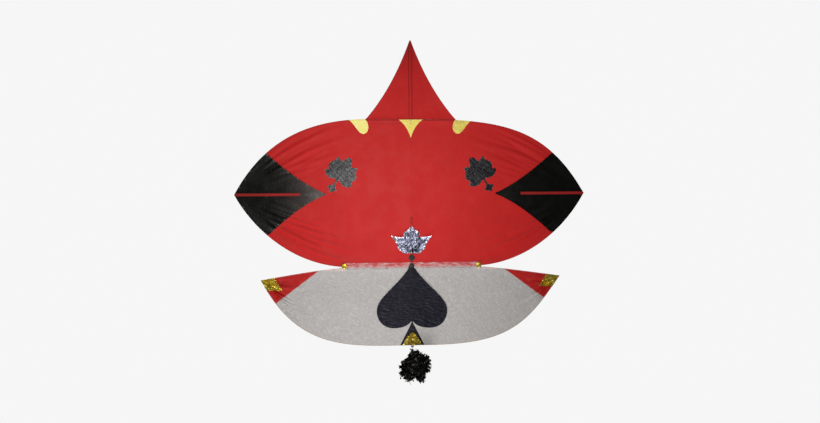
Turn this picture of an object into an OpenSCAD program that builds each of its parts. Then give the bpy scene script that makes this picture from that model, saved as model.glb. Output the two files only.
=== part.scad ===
// Flat bamboo-and-paper kite with a pointed head, a lens-shaped wing, a crescent lower wing
// and a hanging pompom. Millimetres. The origin is where the spine crosses the leading spar.
// +Z runs up the spine, +X to the right seen from the front, and the papered front faces -Y.

/* [Wing] */
// Half of the wingspan
wing_half = 600; // [560:5:640]
// Height of the wing tips below the leading spar
tip_drop = 254; // [235:1:270]
// Height of the trailing edge below the leading spar
chord = 503; // [490:1:515]
// Start of the leading edge's curve from the spine, on the left
lead_straight_left = 145; // [110:1:170]
// Start of the leading edge's curve from the spine, on the right, where the spar droops sooner
lead_straight_right = 20; // [10:1:60]
// Start of the trailing edge's curve from the spine
trail_straight = 207; // [180:1:230]

/* [Head] */
// Height of the head's point above the leading spar
head_h = 272; // [240:1:300]
// Half of the head's width at the leading spar
head_half = 156; // [140:1:170]

/* [Lower wing] */
// Half of the lower wing's span
low_half = 513; // [490:1:530]
// Depth of the lower wing's bottom edge below the leading spar
low_bottom = 773; // [760:1:785]
// Depth of the left lower tip, which a hand-tied bow leaves a little low
low_tip_left = 544; // [535:1:550]
// Depth of the right lower tip
low_tip_right = 540; // [535:1:550]

/* [Bamboo] */
// Width of the spine
spine_w = 9; // [8:0.5:10]
// Depth of the spine behind the paper
spine_d = 8; // [7:0.5:10]
// Width of the wing spars at the spine
spar_w = 5; // [4:0.5:5]
// Width of the wing spars at their ends
spar_end_w = 3.2; // [2.5:0.1:3.5]
// Depth of the spars
spar_d = 3.5; // [3:0.5:4]
// Width of the bow and of the head strips
strip_w = 3.6; // [3:0.1:4]
// Length of the short rib behind each wing tip
rib_len = 222; // [180:1:240]

/* [Paper] */
// Thickness of a sail
sail_t = 0.3; // [0.2:0.05:0.5]
// Thickness of a glued patch
patch_t = 0.2; // [0.15:0.05:0.3]
// Height of the flap that the lower sail glues over the trailing spar
flap_h = 14; // [10:1:16]

/* [Hanging parts] */
// Radius of the tying thread
thread_r = 0.6; // [0.5:0.05:0.8]
// Radius of the pompom
pompom_r = 56; // [50:1:58]
// Depth of the pompom's centre below the leading spar
pompom_drop = 848; // [845:1:860]
// Thickness of the pompom's layer of ribbon
pompom_wall = 1.2; // [1:0.1:3]

/* [Hidden] */

bamboo = "#c9a86a";
thread_white = "#e9e2d0";
paper_red = "#c13332";
paper_grey = "#b0aca9";
paper_black = "#181712";
paper_navy = "#272631";
foil_gold = "#d9c75d";
foil_silver = "#8e90a0";

clear = 0.1;                    // room left between a notch and the strip in it
curve_n = 14;                   // steps along each curve
round_n = 48;
patch_y = -sail_t;              // back of the patches glued on a sail
top_patch_y = -sail_t - patch_t; // back of what is glued on those patches
foot_y = top_patch_y - patch_t; // back of what is glued on the spade
knot_r = 1.9;
running_gap = 0.05;             // between a thread loop and the knot it swings in
dot_x = 231;
dot_r = 10;
rib_z = -tip_drop;
lower_spar_z = -chord - 0.4;    // top edge of the lower wing's upper spar

// ---------- curves ----------

function bez(a, b, c, d, n = curve_n) = [for (i = [0:n]) let (t = i / n, s = 1 - t)
    s * s * s * a + 3 * s * s * t * b + 3 * s * t * t * c + t * t * t * d];
function flip(pts) = [for (i = [len(pts) - 1:-1:0]) [-pts[i].x, pts[i].y]];
function backwards(pts) = [for (i = [len(pts) - 1:-1:0]) pts[i]];
function mirrored(pts) = [for (p = pts) [-p.x, p.y]];

// Bent edge from a straight middle at height z to a tip, as seen on the right-hand side
function edge(start, z, run, pull, tip, angle, up) = bez(
    [start, z], [start + run, z], tip + pull * [-cos(angle), up * sin(angle)], tip);

wing_tip = [wing_half, -tip_drop];
lead_left = edge(lead_straight_left, spar_w / 2, 240, 178, wing_tip, 61.5, 1);
lead_right = edge(lead_straight_right, spar_w / 2, 320, 250, wing_tip, 60, 1);
trail_half = edge(trail_straight, -chord, 173, 159, wing_tip, 61, -1);
lead_path = concat(flip(lead_left), lead_right);
trail_path = concat(flip(trail_half), trail_half);

low_tip_r = [low_half, -low_tip_right];
low_tip_l = [low_half, -low_tip_left];
bow_right = edge(66, -low_bottom, 265, 203, low_tip_r, 56, -1);
bow_left = edge(81, -low_bottom, 187, 234, low_tip_l, 62.7, -1);
bow_path = concat(flip(bow_left), bow_right);
function top_half(tip) = bez([200, lower_spar_z], [262, lower_spar_z], [400, -524], tip);
top_path = concat(flip(top_half(low_tip_l)), top_half(low_tip_r));

head_edge = bez([head_half + 3, -4], [97, 66], [45, 154], [2, head_h]);

// Polygon between a path and itself moved sideways by a at its middle and b at its ends
function normal(p, i) = let (d = p[min(i + 1, len(p) - 1)] - p[max(i - 1, 0)])
    [d.y, -d.x] / norm(d);
function shifted(p, a, b) = [for (i = [0:len(p) - 1])
    let (u = abs(2 * i / (len(p) - 1) - 1)) p[i] + normal(p, i) * (a + (b - a) * u * u)];
function strip(p, a0, a1, b0, b1) = concat(shifted(p, a0, b0), backwards(shifted(p, a1, b1)));

// Flat part with its back at y_back, t thick towards the front
module plate(y_back, t) translate([0, y_back, 0]) rotate([90, 0, 0]) linear_extrude(t) children();

// ---------- bamboo, each strip with a version grown by g for cutting its neighbours ----------

module spine_outline(g = 0) polygon([
    [-3 - g, head_h - 8], [-spine_w / 2 - g, 150], [-spine_w / 2 - g, -low_bottom + 60],
    [-3.5 - g, -low_bottom + 1], [3.5 + g, -low_bottom + 1],
    [spine_w / 2 + g, -low_bottom + 60], [spine_w / 2 + g, 150], [3 + g, head_h - 8]]);
module spar_plate(g = 0) plate(spar_d + g / 2, spar_d + g) children();
module spine_body(g = 0) plate(spine_d + g / 2, spine_d + g) spine_outline(g);
module lead_body(g = 0) spar_plate(g) polygon(strip(lead_path, -g, spar_w + g, -g, spar_end_w + g));
module trail_body(g = 0) spar_plate(g)
    polygon(strip(trail_path, g, -spar_w - g, g, -spar_end_w - g));
module top_body(g = 0) spar_plate(g)
    polygon(strip(top_path, -g, spar_end_w + g, -g, spar_end_w + g));
module bow_body(g = 0) spar_plate(g)
    polygon(strip(bow_path, g, -strip_w - g, g, -spar_end_w - g));
module head_strip_body(g = 0) spar_plate(g)
    polygon(strip(backwards(head_edge), -g, strip_w + g, -g, strip_w + g));
// Everything from the lower wing's upper spar up, grown by g
module above_top(g = 0) plate(spar_d + 1, spar_d + 3) polygon(concat(
    shifted(top_path, spar_end_w + g, spar_end_w + g), [[wing_half, -400], [-wing_half, -400]]));
// Everything from the leading spar's top edge down, grown by g
module below_lead(g = 0) plate(spar_d + 1, spar_d + 3) polygon(concat(
    shifted(lead_path, -g, -g), [[wing_half, -chord], [-wing_half, -chord]]));
module rib_body(g = 0) spar_plate(g) translate([wing_half - 4 - rib_len, rib_z - 2 - g])
    square([rib_len, 4 + 2 * g]);
module both_sides() { children(); mirror([1, 0, 0]) children(); }
module on_side(side) { if (side < 0) mirror([1, 0, 0]) children(); else children(); }

module spine() {
    color(bamboo) difference() {
        spine_body();
        lead_body(clear);
        trail_body(clear);
        top_body(clear);
        bow_body(clear);
    }
}
module leading_spar() color(bamboo) lead_body();
module trailing_spar() {
    color(bamboo) difference() {
        trail_body();
        lead_body(clear);
    }
}
module lower_top_spar() color(bamboo) top_body();
module lower_bow() {
    color(bamboo) difference() {
        bow_body();
        above_top(clear);
    }
}
module head_strip(side) {
    color(bamboo) difference() {
        on_side(side) head_strip_body();
        below_lead(clear);
        spine_body(clear);
        on_side(-side) translate([-clear / 2, -1, 0]) cube([20, spar_d + 2, head_h + 1]);
    }
}
module tip_rib(side) {
    color(bamboo) difference() {
        on_side(side) rib_body();
        lead_body(clear);
        trail_body(clear);
    }
}

// ---------- thread lashings: a pad of wound thread behind each joint ----------

module lashing(x, z, r, depth) {
    color(thread_white) difference() {
        translate([x, clear / 2, z]) rotate([-90, 0, 0])
            cylinder(r = r, h = depth + 1, $fn = round_n);
        children();
    }
}
module neck_lashing() lashing(0, 0, 9, spine_d) { spine_body(clear); lead_body(clear); }
module waist_lashing() lashing(0, -chord, 10, spine_d) {
    spine_body(clear);
    trail_body(clear);
    top_body(clear);
}
module bottom_lashing() lashing(0, -low_bottom + 9, 8, spine_d) {
    spine_body(clear);
    bow_body(clear);
}
module head_tip_lashing() lashing(0, head_h - 30, 9, spine_d) {
    spine_body(clear);
    both_sides() head_strip_body(clear);
}
module head_base_lashing(side) lashing(side * (head_half - 7), 0, 7, spar_d) {
    lead_body(clear);
    on_side(side) head_strip_body(clear);
}
module wing_tip_lashing(side) lashing(side * (wing_half - 10), rib_z, 8, spar_d) {
    lead_body(clear);
    trail_body(clear);
    on_side(side) rib_body(clear);
}
module waist_side_lashing(side) lashing(side * dot_x, -chord - 1, 7, spar_d) {
    trail_body(clear);
    top_body(clear);
}
module lower_tip_lashing(side) {
    tip = side < 0 ? low_tip_l : low_tip_r;
    lashing(side * (tip.x - 13), tip.y - 5, 6, spar_d) {
        top_body(clear);
        bow_body(clear);
    }
}

// ---------- sails ----------

module main_outline() polygon(concat(lead_path, backwards(trail_path)));
module lower_outline() polygon(concat(top_path, backwards(bow_path)));

module head_sail() {
    color(paper_red) difference() {
        plate(0, sail_t) polygon(concat(mirrored(head_edge), backwards(head_edge)));
        below_lead(clear);
    }
}
module main_sail() color(paper_red) plate(0, sail_t) main_outline();
module lower_sail() {
    color(paper_grey) union() {
        plate(0, sail_t) lower_outline();
        plate(-sail_t, patch_t) flap_outline();
    }
}
flap_under = 4;                 // how far the flap reaches below the trailing edge
module flap_outline(g = 0) translate([-dot_x, -chord - flap_under - g])
    square([2 * dot_x, flap_h + flap_under]);

// ---------- patches glued on the sails ----------

panel_top = [490, -115];
panel_apex = [289, rib_z];
panel_bottom = [482, -388];
module tip_panel(side) {
    color(paper_black) plate(patch_y, patch_t) intersection() {
        main_outline();
        on_side(side) polygon(concat(
            bez(panel_top, [425, -172], [362, -222], panel_apex, 8),
            bez(panel_apex, [362, -284], [422, -332], panel_bottom, 8),
            [[wing_half + 50, -388], [wing_half + 50, -115]]));
    }
}
module rib_strip(side) {
    color(paper_red) plate(top_patch_y, patch_t) intersection() {
        main_outline();
        on_side(side) translate([wing_half - rib_len, rib_z - 5]) square([rib_len, 10]);
    }
}

// Triangle of red paper on each end of the lower sail
corner_in_left = [318, -515];
corner_low_left = [467, -627];
corner_in_right = [326, -519];
corner_low_right = [458, -617];
module corner_panel(side) {
    inner = side < 0 ? corner_in_left : corner_in_right;
    low = side < 0 ? corner_low_left : corner_low_right;
    reach = low + (low - inner) * 0.2;
    color(paper_red) plate(patch_y, patch_t) intersection() {
        lower_outline();
        polygon([for (p = [inner - (low - inner) * 0.2, reach, [600, reach.y], [600, -480]])
            [side * p.x, p.y]]);
    }
}

module gold_moon(side) {
    color(foil_gold) plate(patch_y, patch_t) intersection() {
        main_outline();
        on_side(side) polygon(concat(
            bez([158, 4], [140, -12], [140, -44], [161, -48], 8),
            bez([161, -48], [180, -48], [186, -20], [216, 4], 8)));
    }
}
module gold_neck_triangle() {
    half = bez([0, -62], [7, -40], [18, -16], [41, 0.5], 8);
    color(foil_gold) plate(patch_y, patch_t) polygon(concat(mirrored(backwards(half)), half));
}
module gold_dot(side) {
    color(foil_gold) translate([side * dot_x, 0, -chord + 3]) intersection() {
        translate([0, 13 + patch_y - patch_t - 3.4, 0]) sphere(r = 13, $fn = 2 * round_n);
        translate([-dot_r, patch_y - patch_t - 4, -dot_r]) cube([2 * dot_r, 4, 2 * dot_r]);
    }
}
gold_tip_in = 48;
module gold_tip(side) {
    tip = side < 0 ? low_tip_l : low_tip_r;
    color(foil_gold) plate(top_patch_y, patch_t) intersection() {
        lower_outline();
        polygon([for (p = [[0, 6], [-gold_tip_in, 20], [-gold_tip_in, 4], [-74, -36], [6, -36]])
            [side * (tip.x + p.x), tip.y + p.y]]);
    }
}
module gold_tail_triangle() {
    half = [[33.5, -low_bottom + 1.5], [22.6, -751], [13, -739.5], [8.6, -733], [4.5, -730.4],
        [1, -729.5]];
    color(foil_gold) plate(foot_y, patch_t)
        polygon(concat(half, mirrored(backwards(half))));
}

// Five-lobed leaf on a stem with a diamond foot: half of its outline, up from the diamond
leaf_half = [[0, 120], [9, 117], [13, 107], [19, 95], [40, 104], [40, 90], [51, 75], [52, 61],
    [44, 50], [56, 43], [46, 32], [32, 26], [18, 28], [7, 35], [3, 30], [3, 13], [18, 0],
    [0, -16]];
leaf_foot = [270, -233];
leaf_tilt = 32;
module leaf(side) {
    color(paper_black) on_side(side) plate(patch_y, patch_t)
        translate(leaf_foot) rotate(leaf_tilt)
        polygon(concat(leaf_half, mirrored([for (i = [len(leaf_half) - 2:-1:1]) leaf_half[i]])));
}

module silver_leaf() {
    half = [[0, -362], [9, -374], [26, -386], [28, -393], [22, -401], [46, -402], [71, -397],
        [56, -417], [49, -429], [46, -441], [31, -454], [23, -459], [0, -457]];
    color(foil_silver) plate(patch_y, patch_t)
        polygon(concat(half, mirrored([for (i = [len(half) - 2:-1:1]) half[i]])));
}
module silver_leaf_stem() {
    color(paper_black) plate(patch_y, patch_t) polygon([
        [-2, -459.5], [-2, -461], [-12.5, -473], [-1, -487], [1, -487], [12.5, -473],
        [2, -461], [2, -459.5]]);
}

module spade_outline() {
    half = concat(
        bez([0, -490], [38, -565], [121, -605], [121, -654]),
        bez([121, -654], [121, -690], [96, -714], [62, -714], 8),
        bez([62, -714], [35, -714], [12, -706], [2.5, -690], 6),
        [[2.5, -696], [41.5, -low_bottom + 0.5]]);
    polygon(concat(half, mirrored(backwards(half))));
}
// The spade lies over the flap and, below it, on the sail
module spade() {
    color(paper_navy) difference() {
        plate(patch_y, 2 * patch_t) spade_outline();
        plate(clear, sail_t + patch_t + clear) flap_outline(clear);
    }
}
module spade_cap() {
    color(paper_black) plate(foot_y, patch_t)
        polygon([[0, -489], [7, -496], [13.5, -508], [-13.5, -508], [-7, -496]]);
}

// ---------- knots and the loops that swing in them ----------

// Knot with an eye along X, at [y, z], its flat back on the paper eye_out behind the eye
eye_out = 1.3;
module knot(eye) {
    color(thread_white) difference() {
        translate([-1.5, eye.x, eye.y]) rotate([0, 90, 0])
            cylinder(r = knot_r, h = 3, $fn = round_n);
        translate([-3, eye.x, eye.y]) rotate([0, 90, 0])
            cylinder(r = thread_r + running_gap, h = 6, $fn = round_n);
        translate([-3, eye.x + eye_out, eye.y - 5]) cube([6, 10, 10]);
    }
}

// Hanging loop of thread: a pin through the knot's eye, two legs and a round foot
module loop(eye, width, height) {
    leg = height - width / 2;
    color(thread_white) translate([0, eye.x, eye.y]) {
        rotate([0, 90, 0]) cylinder(r = thread_r, h = width, center = true, $fn = 24);
        for (s = [-1, 1]) translate([s * width / 2, 0, 0]) {
            sphere(r = thread_r, $fn = 24);
            translate([0, 0, -leg]) cylinder(r = thread_r, h = leg, $fn = 24);
        }
        translate([0, 0, -leg]) rotate([90, 0, 0]) rotate([0, 0, 180])
            rotate_extrude(angle = 180, $fn = round_n) translate([width / 2, 0])
            circle(r = thread_r, $fn = 24);
    }
}
upper_eye = [top_patch_y - eye_out, -3];
lower_eye = [patch_y - eye_out, -337];
tail_eye = [foot_y - patch_t - eye_out, -762];
loop_w = 7;
upper_loop_h = 14;
lower_loop_h = 19;
tail_loop_h = 20;

module bridle_knot_upper() knot(upper_eye);
module bridle_loop_upper() loop(upper_eye, loop_w, upper_loop_h);
module bridle_knot_lower() knot(lower_eye);
module bridle_loop_lower() loop(lower_eye, loop_w, lower_loop_h);
module tail_knot() knot(tail_eye);
module tail_loop() loop(tail_eye, loop_w, tail_loop_h);

// The hanger's pin lies in the foot of the tail loop, and its legs stand on the tie
hanger_z = tail_eye.y - tail_loop_h + 2 * thread_r + running_gap;
hanger_w = 6;
tie_top = -pompom_drop + pompom_r + 6;
tie_sunk = 0.6;
tie_bottom = -pompom_drop + pompom_r - tie_sunk;
tie_r = 5;
module pompom_hanger() {
    color(thread_white) translate([0, tail_eye.x, 0]) {
        translate([0, 0, hanger_z]) rotate([90, 0, 0])
            cylinder(r = thread_r, h = hanger_w, center = true, $fn = 24);
        for (s = [-1, 1]) translate([0, s * hanger_w / 2, 0]) {
            translate([0, 0, hanger_z]) sphere(r = thread_r, $fn = 24);
            translate([0, 0, tie_top]) cylinder(r = thread_r, h = hanger_z - tie_top, $fn = 24);
        }
    }
}
module pompom_tie() {
    color(paper_black) translate([0, tail_eye.x, tie_bottom])
        cylinder(r = tie_r, h = tie_top - tie_bottom, $fn = round_n);
}
module pompom() {
    color(paper_black) translate([0, tail_eye.x, -pompom_drop]) difference() {
        sphere(r = pompom_r, $fn = round_n);
        sphere(r = pompom_r - pompom_wall, $fn = round_n);
        translate([0, 0, pompom_r - tie_sunk]) cylinder(r = tie_r + clear, h = 5, $fn = round_n);
    }
}

spine();
leading_spar();
trailing_spar();
lower_top_spar();
lower_bow();
head_strip(-1);  // head_strip_left
head_strip(1);  // head_strip_right
tip_rib(-1);  // tip_rib_left
tip_rib(1);  // tip_rib_right
neck_lashing();
waist_lashing();
bottom_lashing();
head_tip_lashing();
head_base_lashing(-1);  // head_base_lashing_left
head_base_lashing(1);  // head_base_lashing_right
wing_tip_lashing(-1);  // wing_tip_lashing_left
wing_tip_lashing(1);  // wing_tip_lashing_right
waist_side_lashing(-1);  // waist_side_lashing_left
waist_side_lashing(1);  // waist_side_lashing_right
lower_tip_lashing(-1);  // lower_tip_lashing_left
lower_tip_lashing(1);  // lower_tip_lashing_right
head_sail();
main_sail();
lower_sail();
tip_panel(-1);  // tip_panel_left
tip_panel(1);  // tip_panel_right
rib_strip(-1);  // rib_strip_left
rib_strip(1);  // rib_strip_right
corner_panel(-1);  // corner_panel_left
corner_panel(1);  // corner_panel_right
gold_moon(-1);  // gold_moon_left
gold_moon(1);  // gold_moon_right
gold_neck_triangle();
gold_dot(-1);  // gold_dot_left
gold_dot(1);  // gold_dot_right
gold_tip(-1);  // gold_tip_left
gold_tip(1);  // gold_tip_right
gold_tail_triangle();
leaf(-1);  // leaf_left
leaf(1);  // leaf_right
silver_leaf();
silver_leaf_stem();
spade();
spade_cap();
bridle_knot_upper();
bridle_loop_upper();
bridle_knot_lower();
bridle_loop_lower();
tail_knot();
tail_loop();
pompom_hanger();
pompom_tie();
pompom();
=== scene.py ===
import math
import random

import bmesh
import bpy
from mathutils import Matrix, Vector, kdtree, noise


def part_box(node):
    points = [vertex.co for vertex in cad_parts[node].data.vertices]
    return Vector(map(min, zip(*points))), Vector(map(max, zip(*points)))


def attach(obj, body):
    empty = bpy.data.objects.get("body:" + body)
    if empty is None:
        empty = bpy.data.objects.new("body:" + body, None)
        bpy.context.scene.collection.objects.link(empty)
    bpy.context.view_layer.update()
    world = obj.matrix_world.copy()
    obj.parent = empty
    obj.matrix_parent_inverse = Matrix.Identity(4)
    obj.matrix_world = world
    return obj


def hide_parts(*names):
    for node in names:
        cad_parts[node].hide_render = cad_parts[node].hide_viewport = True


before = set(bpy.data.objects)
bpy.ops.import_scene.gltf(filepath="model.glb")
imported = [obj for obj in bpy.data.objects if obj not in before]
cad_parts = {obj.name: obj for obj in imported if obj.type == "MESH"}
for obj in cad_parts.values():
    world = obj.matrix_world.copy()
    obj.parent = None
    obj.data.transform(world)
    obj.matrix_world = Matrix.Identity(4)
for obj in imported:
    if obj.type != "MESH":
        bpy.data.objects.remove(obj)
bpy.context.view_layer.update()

MM = 0.001

# ---------- sizes, in metres ----------

SAIL, PAPER, FOIL = 0.3 * MM, 0.15 * MM, 0.06 * MM      # thickness of the sails and of what is glued on
SAIL_FRONT = -0.3 * MM       # where the sails' front face lies over the sticks
LAYER = 0.2 * MM             # how far each glued layer stands in front of the one below
COARSE, FINE, FINEST = 5 * MM, 2.5 * MM, 1.25 * MM      # how closely the sheets are diced
RIM_REACH = 8 * MM           # how far in from a cut edge its mark reaches
WING_HALF, LOW_HALF = 600 * MM, 540 * MM                # where the folds of each sail run together
TAIL_Z = -762 * MM           # height of the eye that the pompom hangs from
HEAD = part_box("head_sail")
RIB_Z = (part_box("tip_rib_left")[0].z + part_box("tip_rib_left")[1].z) / 2


# ---------- camera, lights and floor ----------

def look_from(place, target, roll=0.0):
    """Turn that points an object's -Z from place to target."""
    turn = (Vector(target) - Vector(place)).to_track_quat("-Z", "Y").to_matrix().to_4x4()
    return Matrix.Translation(place) @ turn @ Matrix.Rotation(roll, 4, "Z")


def make_camera():
    data = bpy.data.cameras.new("camera")
    camera = bpy.data.objects.new("camera", data)
    bpy.context.scene.collection.objects.link(camera)
    distance, width_seen = 2.6, 2.811452
    swing, roll = math.radians(3.4), math.radians(-0.45)
    target = Vector((-0.0045, 0, -0.3145))
    place = target + distance * Vector((-math.sin(swing), -math.cos(swing), 0))
    camera.matrix_world = look_from(place, target, roll)
    data.sensor_width = 36
    data.lens = data.sensor_width * distance / width_seen
    data.clip_end = 50
    bpy.context.scene.camera = camera


def make_light(name, place, target, size, watts, tint):
    data = bpy.data.lights.new(name, "AREA")
    data.shape = "DISK"
    data.size = size
    data.energy = watts
    data.color = tint
    lamp = bpy.data.objects.new(name, data)
    bpy.context.scene.collection.objects.link(lamp)
    lamp.matrix_world = look_from(place, target)
    lamp.visible_camera = False


def make_world():
    """Pale backdrop to the eye, softer as fill light, and dim in reflections."""
    world = bpy.data.worlds.new("studio")
    bpy.context.scene.world = world
    world.use_nodes = True
    nodes, links = world.node_tree.nodes, world.node_tree.links
    nodes.clear()
    path = nodes.new("ShaderNodeLightPath")

    def backdrop(*shade):
        node = nodes.new("ShaderNodeBackground")
        node.inputs["Color"].default_value = (*shade, 1)
        return node.outputs[0]

    def swap(ray, usual, other):
        node = nodes.new("ShaderNodeMixShader")
        for socket, source in zip(node.inputs, (path.outputs[ray], usual, other)):
            links.new(source, socket)
        return node.outputs[0]

    fill = swap("Is Glossy Ray", backdrop(0.21, 0.21, 0.215), backdrop(0.07, 0.07, 0.075))
    shown = swap("Is Camera Ray", fill, backdrop(0.921, 0.921, 0.921))
    links.new(shown, nodes.new("ShaderNodeOutputWorld").inputs["Surface"])


make_camera()
make_world()
# name, place, target, size, watts, tint
make_light("key", (-0.10, -0.85, -0.24), (-0.08, 0, -0.25), 0.40, 4.6, (1.0, 0.985, 0.96))
make_light("rake", (-0.25, -0.42, -1.6), (-0.05, 0, -0.3), 0.35, 9.5, (1.0, 0.99, 0.98))
make_light("back_fill", (0.9, 2.2, 0.9), (0, 0, -0.3), 1.2, 14, (1.0, 0.99, 0.98))
bpy.context.scene.view_settings.view_transform = "Standard"


# ---------- outlines read from the CAD parts ----------

def outlines(node, level=None):
    """Edges of a flat part's front faces, in order, as (x, z); level picks the faces by y."""
    bm = bmesh.new()
    bm.from_mesh(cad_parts[node].data)
    bmesh.ops.remove_doubles(bm, verts=bm.verts, dist=1e-6)
    front = {f for f in bm.faces if f.normal.y < -0.9
             and (level is None or abs(f.calc_center_median().y - level) < 0.05 * MM)}
    left = {e: None for e in bm.edges if sum(g in front for g in e.link_faces) == 1}
    loops = []
    while left:
        start = next(iter(left))
        del left[start]
        first, here = start.verts
        loop = [first, here]
        while here != first:
            step = next(e for e in here.link_edges if e in left)
            del left[step]
            here = step.other_vert(here)
            loop.append(here)
        loops.append(turned([(v.co.x, v.co.z) for v in loop[:-1]]))
    bm.free()
    return loops


def flat_area(loop):
    """Area inside the loop, below zero if it runs clockwise seen from the front."""
    return sum(a[0] * b[1] - b[0] * a[1] for a, b in zip(loop, loop[1:] + loop[:1])) / 2


def outline(node, level=None):
    """The largest of a flat part's outlines."""
    return max(outlines(node, level), key=flat_area)


def turned(loop):
    """The loop, running anticlockwise seen from the front."""
    return loop if flat_area(loop) > 0 else loop[::-1]


def smooth(path, step):
    """Curve through the points of an open path, with points about step apart."""
    pts = [Vector(p) for p in path]
    if len(pts) < 3:
        a, b = pts[0], pts[-1]
        n = max(1, round((b - a).length / step))
        return [tuple(a.lerp(b, i / n)) for i in range(n + 1)]
    ext = [2 * pts[0] - pts[1], *pts, 2 * pts[-1] - pts[-2]]
    made = []
    for i in range(1, len(ext) - 2):
        p0, p1, p2, p3 = ext[i - 1:i + 3]
        k1 = (p2 - p1).length
        m1 = (p2 - p0) * k1 / max((p1 - p0).length + k1, 1e-9)
        m2 = (p3 - p1) * k1 / max((p3 - p2).length + k1, 1e-9)
        n = max(1, round(k1 / step))
        for j in range(n):
            t = j / n
            h = (2 * t ** 3 - 3 * t * t + 1, t ** 3 - 2 * t * t + t,
                 3 * t * t - 2 * t ** 3, t ** 3 - t * t)
            made.append(tuple(h[0] * p1 + h[1] * m1 + h[2] * p2 + h[3] * m2))
    return made + [tuple(pts[-1])]


def smooth_loop(loop, step, corner=35):
    """Closed outline with its corners kept and the stretches between them smoothed."""
    n = len(loop)
    sharp = []
    for i in range(n):
        a = Vector(loop[i]) - Vector(loop[i - 1])
        b = Vector(loop[(i + 1) % n]) - Vector(loop[i])
        if math.degrees(a.angle(b, 0)) > corner:
            sharp.append(i)
    if not sharp:
        sharp = [0]
    made = []
    for k, i in enumerate(sharp):
        j = sharp[(k + 1) % len(sharp)]
        j = j + n if j <= i else j
        made += smooth([loop[q % n] for q in range(i, j + 1)], step)[:-1]
    return made


def between(loop, a, b):
    """Stretch of the loop from the point nearest a to the point nearest b."""
    near = [min(range(len(loop)), key=lambda i: math.dist(loop[i], q)) for q in (a, b)]
    i, j = near
    j = j + len(loop) if j <= i else j
    return [loop[q % len(loop)] for q in range(i, j + 1)]


def chain_at(path, key, s):
    """Where an open path crosses a line of constant x (key 0) or z (key 1)."""
    for a, b in zip(path, path[1:]):
        if (a[key] - s) * (b[key] - s) <= 0 and a[key] != b[key]:
            t = (s - a[key]) / (b[key] - a[key])
            return a[1 - key] + t * (b[1 - key] - a[1 - key])
    ends = (path[0], path[-1])
    return min(ends, key=lambda p: abs(p[key] - s))[1 - key]


def centre_line(node, upright, step):
    """Middle and true width of a strip's front face at even stations: (x, z, width)."""
    loops = outlines(node)
    key = 1 if upright else 0
    low = min(p[key] for loop in loops for p in loop)
    high = max(p[key] for loop in loops for p in loop)
    count = max(2, round((high - low) / step))
    found = []
    for i in range(count + 1):
        s = low + (high - low) * (0.0008 + 0.9984 * i / count)
        hits = []
        for loop in loops:
            for a, b in zip(loop, loop[1:] + loop[:1]):
                if (a[key] - s) * (b[key] - s) < 0:
                    t = (s - a[key]) / (b[key] - a[key])
                    hits.append(a[1 - key] + t * (b[1 - key] - a[1 - key]))
        if hits:
            middle, across = (min(hits) + max(hits)) / 2, max(hits) - min(hits)
            found.append((middle, s, across) if upright else (s, middle, across))
    line = []
    for i, (x, z, across) in enumerate(found):
        a, b = found[max(i - 1, 0)], found[min(i + 1, len(found) - 1)]
        run, rise = (b[1] - a[1], b[0] - a[0]) if upright else (b[0] - a[0], b[1] - a[1])
        line.append((x, z, across * math.cos(math.atan2(rise, run))))
    return line


wing_loop = outline("main_sail")
wing_l, wing_r = min(wing_loop), max(wing_loop)
leading = between(wing_loop, wing_r, wing_l)
trailing = between(wing_loop, wing_l, wing_r)
head_loop = outline("head_sail")
head_foot = [p for p in head_loop if p[1] < HEAD[0].z + 12 * MM]
head_right = between(head_loop, max(head_foot), max(head_loop, key=lambda p: p[1]))
head_left = between(head_loop, max(head_loop, key=lambda p: p[1]), min(head_foot))
low_loop = outline("lower_sail", SAIL_FRONT)
low_l, low_r = min(low_loop), max(low_loop)
bow = between(low_loop, low_l, low_r)
top_line = [(x, z) for x, z, _ in centre_line("lower_top_spar", False, 12 * MM)]


# ---------- how the paper lies ----------

def ease(distance, reach):
    """Rises from 0 to 1 as the distance grows past the reach."""
    return 1 - math.exp(-max(0.0, distance) / reach)


def step_up(s, low, high):
    """Moves smoothly from 0 at low to 1 at high."""
    t = min(1.0, max(0.0, (s - low) / (high - low)))
    return t * t * (3 - 2 * t)


def grain(x, z, size, seed=0.0):
    """Soft random height from -1 to 1, with bumps about that size."""
    return noise.noise(Vector((x / size, seed, z / size)))


def folds(s, count, along, drift, seed):
    """Rounded random pleats across s, which wander slowly along their length."""
    first = noise.noise(Vector((s * count, along / drift, seed)))
    second = noise.noise(Vector((s * count * 2.3, along / drift * 1.6, seed + 7)))
    return 1 - 2 * abs(first) ** 0.8 + 0.35 * second - 0.55


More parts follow.
